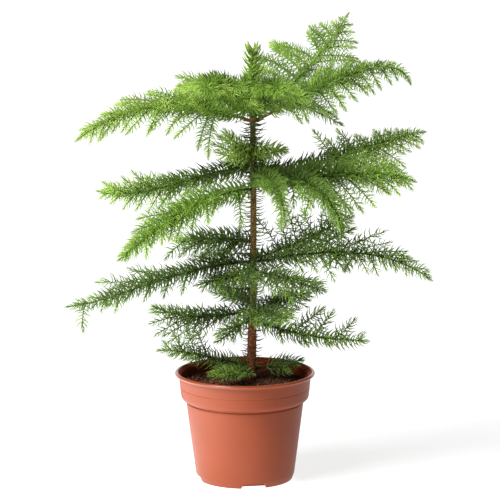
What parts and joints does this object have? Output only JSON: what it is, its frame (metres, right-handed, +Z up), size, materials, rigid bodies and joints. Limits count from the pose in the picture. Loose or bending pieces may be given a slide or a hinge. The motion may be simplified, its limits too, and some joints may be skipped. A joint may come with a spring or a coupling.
{
  "type": "potted norfolk island pine",
  "caption": "Young potted araucaria: an upright trunk with whorls of drooping needled boughs, rooted in the soil of a round collared nursery pot that stands on its flat underside.",
  "frame": {"origin": "middle of the pot's flat underside", "axes": "+Z up along the trunk, +X to the right of the picture's view, +Y away from its viewer"},
  "size_m": [0.3937, 0.3227, 0.489],
  "materials": {
    "pot": "satin terracotta-coloured plastic",
    "soil": "loose moist peat and bark",
    "bark": "rough young bark",
    "shoot": "green-brown bark",
    "needles": "soft satin needles"
  },
  "bodies": {
    "root": {"bough_low_left": "shoot", "bough_lower_back": "shoot", "bough_lower_back_right": "shoot", "bough_lower_front": "shoot", "bough_lower_front_left": "shoot", "bough_lower_left": "shoot", "bough_lower_right": "shoot", "bough_middle_back_left": "shoot", "bough_middle_back_right": "shoot", "bough_middle_front": "shoot", "bough_middle_front_left": "shoot", "bough_middle_front_right": "shoot", "bough_middle_left": "shoot", "bough_middle_right": "shoot", "bough_top_back_left": "shoot", "bough_top_back_right": "shoot", "bough_top_front_left": "shoot", "bough_top_front_right": "shoot", "bough_top_left": "shoot", "bough_top_right": "shoot", "bough_upper_back": "shoot", "bough_upper_back_left": "shoot", "bough_upper_back_right": "shoot", "bough_upper_front": "shoot", "bough_upper_front_left": "shoot", "bough_upper_front_right": "shoot", "bough_upper_right": "shoot", "foliage_leader": "needles", "foliage_low_front_left": "needles", "foliage_low_left": "needles", "foliage_low_right": "needles", "foliage_lower_back": "needles", "foliage_lower_back_right": "needles", "foliage_lower_front": "needles", "foliage_lower_front_left": "needles", "foliage_lower_left": "needles", "foliage_lower_right": "needles", "foliage_middle_back_left": "needles", "foliage_middle_back_right": "needles", "foliage_middle_front": "needles", "foliage_middle_front_left": "needles", "foliage_middle_front_right": "needles", "foliage_middle_left": "needles", "foliage_middle_right": "needles", "foliage_top_back_left": "needles", "foliage_top_back_right": "needles", "foliage_top_front_left": "needles", "foliage_top_front_right": "needles", "foliage_top_left": "needles", "foliage_top_right": "needles", "foliage_upper_back": "needles", "foliage_upper_back_left": "needles", "foliage_upper_back_right": "needles", "foliage_upper_front": "needles", "foliage_upper_front_left": "needles", "foliage_upper_front_right": "needles", "foliage_upper_right": "needles", "pot": "pot", "soil": "soil", "trunk": "bark"}
  },
  "joints": []
}
